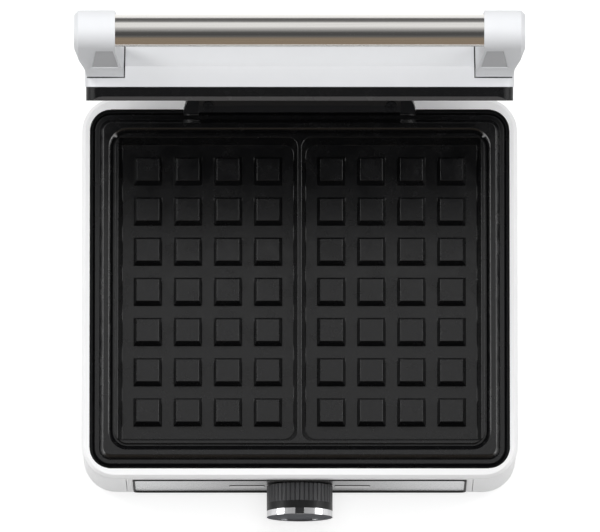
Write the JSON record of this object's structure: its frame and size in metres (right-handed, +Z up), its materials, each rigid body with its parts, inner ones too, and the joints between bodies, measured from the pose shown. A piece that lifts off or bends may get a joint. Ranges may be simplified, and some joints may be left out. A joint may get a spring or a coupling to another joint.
{
  "type": "waffle maker",
  "caption": "Electric waffle maker with an open hinged lid, facing non-stick plates with square pegs, a steel tube handle and a front thermostat knob.",
  "frame": {"origin": "on the table, under the middle of the open appliance's bounding box", "axes": "+X to the right, +Y to the hinge at the back, +Z up; the knob faces -Y"},
  "size_m": [0.2656, 0.2803, 0.3665],
  "materials": {
    "white_plastic": "smooth gloss",
    "non_stick": "black non-stick coating on cast metal",
    "black_plastic": "fine matt",
    "black_enamel": "satin black",
    "polished_steel": "polished",
    "panel_metal": "fine brushed",
    "plain_steel": "plain",
    "element_sheath": "heat-dulled",
    "black_rubber": "matt",
    "dark_lens": "clear gloss",
    "lamp_glass": "clear",
    "ceramic": "matt"
  },
  "bodies": {
    "base": {"base_housing": "white_plastic", "base_bezel": "white_plastic", "bottom_cover": "black_plastic", "bottom_screws": "plain_steel", "rubber_feet": "black_rubber", "cord_gland": "black_rubber", "terminal_block": "ceramic", "thermal_fuse": "ceramic", "lower_plate": "non_stick", "lower_plate_screws": "plain_steel", "lower_heating_element": "element_sheath", "lower_reflector": "plain_steel", "front_fascia": "white_plastic", "panel_gasket": "black_rubber", "control_panel": "panel_metal", "pilot_lenses": "dark_lens", "pilot_lamps": "lamp_glass", "thermostat_body": "ceramic", "thermostat_screws": "plain_steel", "hinge_bracket": "black_enamel", "hinge_screws": "plain_steel", "hinge_pin": "plain_steel", "hinge_clips": "plain_steel"},
    "lid": {"lid_shell": "white_plastic", "upper_plate": "non_stick", "upper_heating_element": "element_sheath", "upper_reflector": "plain_steel", "handle_bracket_left": "white_plastic", "handle_bracket_right": "white_plastic", "handle_tube": "polished_steel", "handle_screws": "plain_steel", "lid_hinge_arms": "black_enamel", "lid_hinge_screws": "plain_steel"},
    "knob": {"thermostat_spindle": "plain_steel", "knob_grip": "black_plastic", "knob_cap": "polished_steel", "knob_pointer": "black_plastic"}
  },
  "joints": [
    {"name": "lid_hinge", "type": "hinge", "parent": "base", "child": "lid", "pos_m": [0, 0.11785, 0.086], "axis": [1, 0, 0], "range_deg": [-17, 81]},
    {"name": "knob_turn", "type": "hinge", "parent": "base", "child": "knob", "pos_m": [0, -0.12045, 0.0392], "axis": [0, 1, 0], "range_deg": [-135, 135]}
  ]
}
